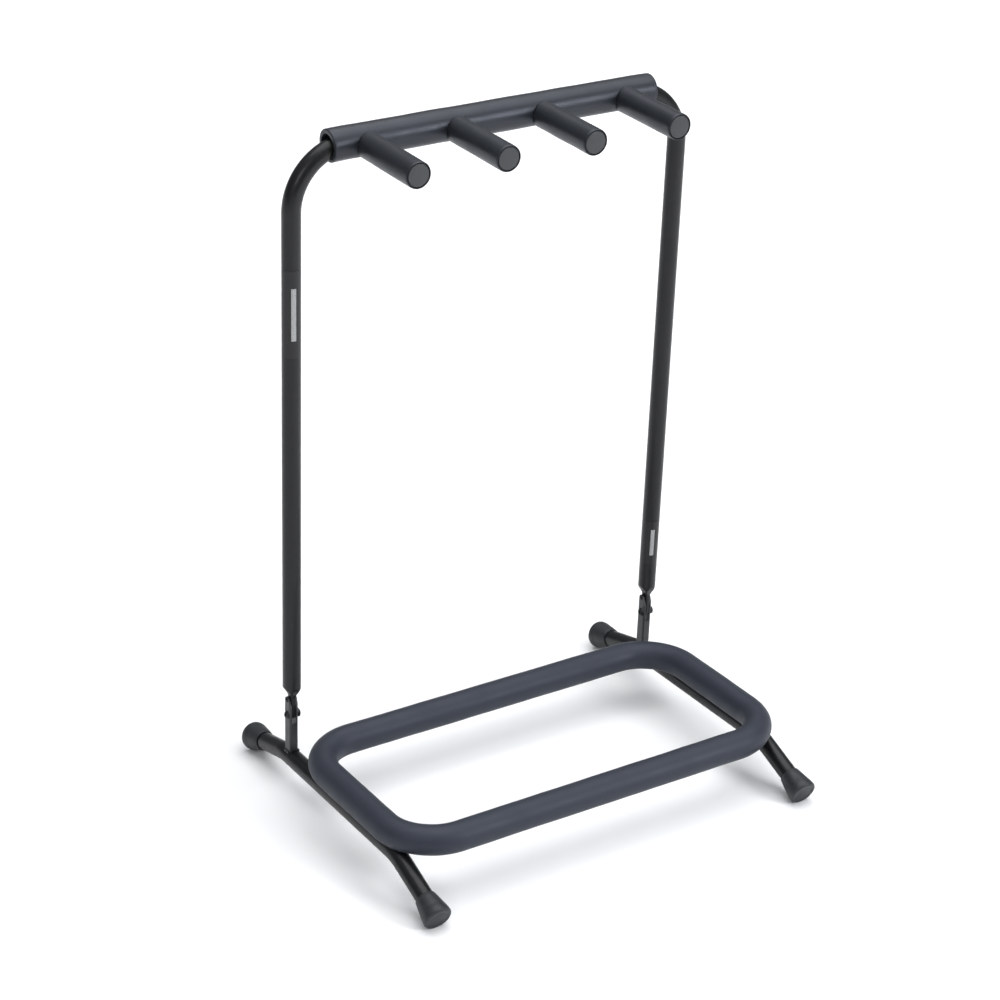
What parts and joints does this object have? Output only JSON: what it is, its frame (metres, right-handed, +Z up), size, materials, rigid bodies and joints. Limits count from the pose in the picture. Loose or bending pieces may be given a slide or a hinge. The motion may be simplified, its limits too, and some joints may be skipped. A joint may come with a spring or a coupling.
{
  "type": "guitar rack",
  "caption": "Folding floor rack for guitars: a padded resting loop on two bent legs, and an upright tube frame with padded neck arms that folds forward.",
  "frame": {"origin": "on the floor, at the centre of the footprint of the four feet", "axes": "+X is the rack's right, -Y is its front (the side the neck arms point to), +Z is up"},
  "size_m": [0.4276, 0.3492, 0.6408],
  "materials": {
    "black_steel": "satin black powder coat",
    "bracket_steel": "satin dark grey powder coat over folded sheet",
    "bolt_steel": "dark zinc, worn bright on the heads",
    "weld": "painted weld bead",
    "foam": "matt closed-cell foam, dark blue grey",
    "foot_rubber": "moulded black rubber",
    "cap_plastic": "matt black moulded plastic",
    "label_film": "blank printed film"
  },
  "bodies": {
    "base": {"left_leg": "black_steel", "right_leg": "black_steel", "loop_tube": "black_steel", "loop_foam": "foam", "base_welds": "weld", "front_left_foot": "foot_rubber", "front_right_foot": "foot_rubber", "rear_left_foot": "foot_rubber", "rear_right_foot": "foot_rubber", "left_hinge_bracket": "bracket_steel", "right_hinge_bracket": "bracket_steel", "left_pivot_bolt": "bolt_steel", "right_pivot_bolt": "bolt_steel", "left_lock_nut": "bolt_steel", "right_lock_nut": "bolt_steel", "left_stop_rivet": "bolt_steel", "right_stop_rivet": "bolt_steel"},
    "upper_frame": {"upright_frame": "black_steel", "top_sleeve_foam": "foam", "arm_tube_1": "black_steel", "arm_tube_2": "black_steel", "arm_tube_3": "black_steel", "arm_tube_4": "black_steel", "arm_foam_1": "foam", "arm_foam_2": "foam", "arm_foam_3": "foam", "arm_foam_4": "foam", "arm_cap_1": "cap_plastic", "arm_cap_2": "cap_plastic", "arm_cap_3": "cap_plastic", "arm_cap_4": "cap_plastic", "left_post_label": "label_film", "right_post_label": "label_film"}
  },
  "joints": [
    {"name": "frame_fold", "type": "hinge", "parent": "base", "child": "upper_frame", "pos_m": [0, 0.0949, 0.07712], "axis": [1, 0, 0], "range_deg": [0, 88]}
  ]
}
